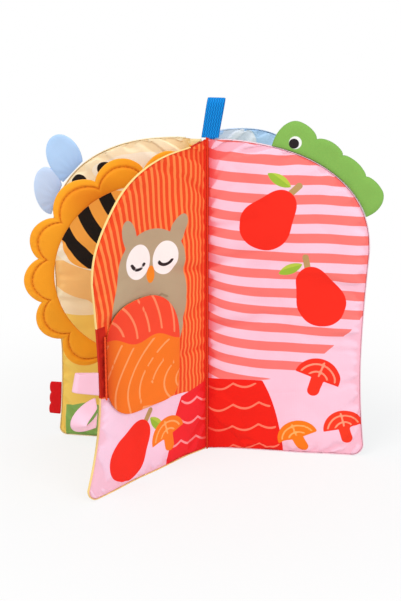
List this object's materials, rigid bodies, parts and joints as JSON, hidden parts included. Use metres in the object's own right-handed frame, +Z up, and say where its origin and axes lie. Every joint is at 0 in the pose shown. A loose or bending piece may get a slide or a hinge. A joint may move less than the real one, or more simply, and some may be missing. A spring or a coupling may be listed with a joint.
{
  "type": "crinkle cloth book",
  "caption": "Baby's crinkle cloth book standing open, with padded arched pages, a scalloped ring page, leaf flap, wing, ribbon and scallop tabs, and a hanging loop.",
  "frame": {"origin": "foot of the stitching in the middle fold, where the two main pages meet", "axes": "+Z up the fold, +X along the right page's foot, +Y to the back of the right page"},
  "size_m": [0.2214, 0.1737, 0.2355],
  "materials": {
    "blue_woven_tape": "matte",
    "clear_crinkle_film": "glossy",
    "coral_print_cotton": "matte",
    "cream_print_cotton": "matte",
    "green_velour": "matte",
    "light_blue_velour": "matte",
    "orange_flap_cotton": "matte",
    "orange_thread": "matte",
    "orange_velour": "matte",
    "pale_blue_cotton": "matte",
    "pink_satin_ribbon": "satin",
    "red_felt": "matte",
    "red_print_cotton": "matte",
    "teal_cotton": "matte",
    "teal_cover_cotton": "matte",
    "white_wadding": "matte",
    "yellow_cotton": "matte",
    "yellow_cover_cotton": "matte"
  },
  "bodies": {
    "right_page": {"green_tab_back": "green_velour", "green_tab_front": "green_velour", "middle_fold_stitching": "orange_thread", "right_fold_stitching": "orange_thread", "right_page_back": "teal_cotton", "right_page_crinkle_film": "clear_crinkle_film", "right_page_front": "coral_print_cotton", "right_page_wadding": "white_wadding"},
    "hanging_loop": {"hanging_loop": "blue_woven_tape"},
    "leaf_flap": {"leaf_flap_back": "orange_flap_cotton", "leaf_flap_crinkle_film": "clear_crinkle_film", "leaf_flap_front": "orange_flap_cotton"},
    "left_page": {"leaf_flap_stitching": "orange_thread", "left_fold_stitching": "orange_thread", "left_page_back": "yellow_cotton", "left_page_crinkle_film": "clear_crinkle_film", "left_page_front": "red_print_cotton", "left_page_wadding": "white_wadding"},
    "left_cover": {"left_cover_back": "yellow_cover_cotton", "left_cover_crinkle_film": "clear_crinkle_film", "left_cover_front": "cream_print_cotton", "left_cover_wadding": "white_wadding"},
    "lower_ribbon": {"lower_ribbon": "pink_satin_ribbon"},
    "lower_wing": {"lower_wing": "light_blue_velour"},
    "red_tab": {"red_tab": "red_felt"},
    "right_cover": {"right_cover_back": "teal_cover_cotton", "right_cover_crinkle_film": "clear_crinkle_film", "right_cover_front": "pale_blue_cotton", "right_cover_wadding": "white_wadding"},
    "ring_page": {"ring_fold_stitching": "orange_thread", "ring_page_back": "orange_velour", "ring_page_binding_strip": "orange_velour", "ring_page_front": "orange_velour", "ring_page_wadding": "white_wadding"},
    "upper_ribbon": {"upper_ribbon": "pink_satin_ribbon"},
    "upper_wing": {"upper_wing": "light_blue_velour"}
  },
  "joints": [
    {"name": "right_cover_fold", "type": "hinge", "parent": "right_page", "child": "right_cover", "pos_m": [0.0045, 0.00324, 0], "axis": [0, 0, 1], "range_deg": [-50, 25]},
    {"name": "middle_fold", "type": "hinge", "parent": "right_page", "child": "left_page", "pos_m": [0, 0, 0], "axis": [0, 0, -1], "range_deg": [-125, 55]},
    {"name": "ring_page_fold", "type": "hinge", "parent": "left_page", "child": "ring_page", "pos_m": [-0.00524, -0.00183, 0], "axis": [0, 0, -1], "range_deg": [-37, 13]},
    {"name": "left_cover_fold", "type": "hinge", "parent": "ring_page", "child": "left_cover", "pos_m": [-0.01094, 0.00116, 0], "axis": [0, 0, -1], "range_deg": [-21.5, 8.5]},
    {"name": "leaf_flap_hinge", "type": "hinge", "parent": "left_page", "child": "leaf_flap", "pos_m": [-0.05195, -0.07349, 0], "axis": [0, 0, -1], "range_deg": [0, 120]},
    {"name": "upper_wing_hinge", "type": "hinge", "parent": "left_cover", "child": "upper_wing", "pos_m": [-0.08693, 0.00897, 0.18533], "axis": [0.68, -0.0416, 0.7321], "range_deg": [-45, 45], "stiffness_Nm_per_rad": 0.002},
    {"name": "lower_wing_hinge", "type": "hinge", "parent": "left_cover", "child": "lower_wing", "pos_m": [-0.09859, 0.00968, 0.16694], "axis": [0.3686, -0.0225, 0.9293], "range_deg": [-45, 45], "stiffness_Nm_per_rad": 0.002},
    {"name": "red_tab_hinge", "type": "hinge", "parent": "left_cover", "child": "red_tab", "pos_m": [-0.10307, 0.00996, 0.015], "axis": [0, 0, 1], "range_deg": [-60, 60], "stiffness_Nm_per_rad": 0.002},
    {"name": "upper_ribbon_hinge", "type": "hinge", "parent": "left_page", "child": "upper_ribbon", "pos_m": [-0.05682, -0.07557, 0.069], "axis": [0, 0, 1], "range_deg": [0, 60], "stiffness_Nm_per_rad": 0.002},
    {"name": "lower_ribbon_hinge", "type": "hinge", "parent": "left_page", "child": "lower_ribbon", "pos_m": [-0.05773, -0.07686, 0.0475], "axis": [0, 0, 1], "range_deg": [0, 60], "stiffness_Nm_per_rad": 0.002},
    {"name": "hanging_loop_hinge", "type": "hinge", "parent": "right_page", "child": "hanging_loop", "pos_m": [0.0012, 0.0016, 0.2113], "axis": [1, 0, 0], "range_deg": [-22, 50], "stiffness_Nm_per_rad": 0.002}
  ]
}
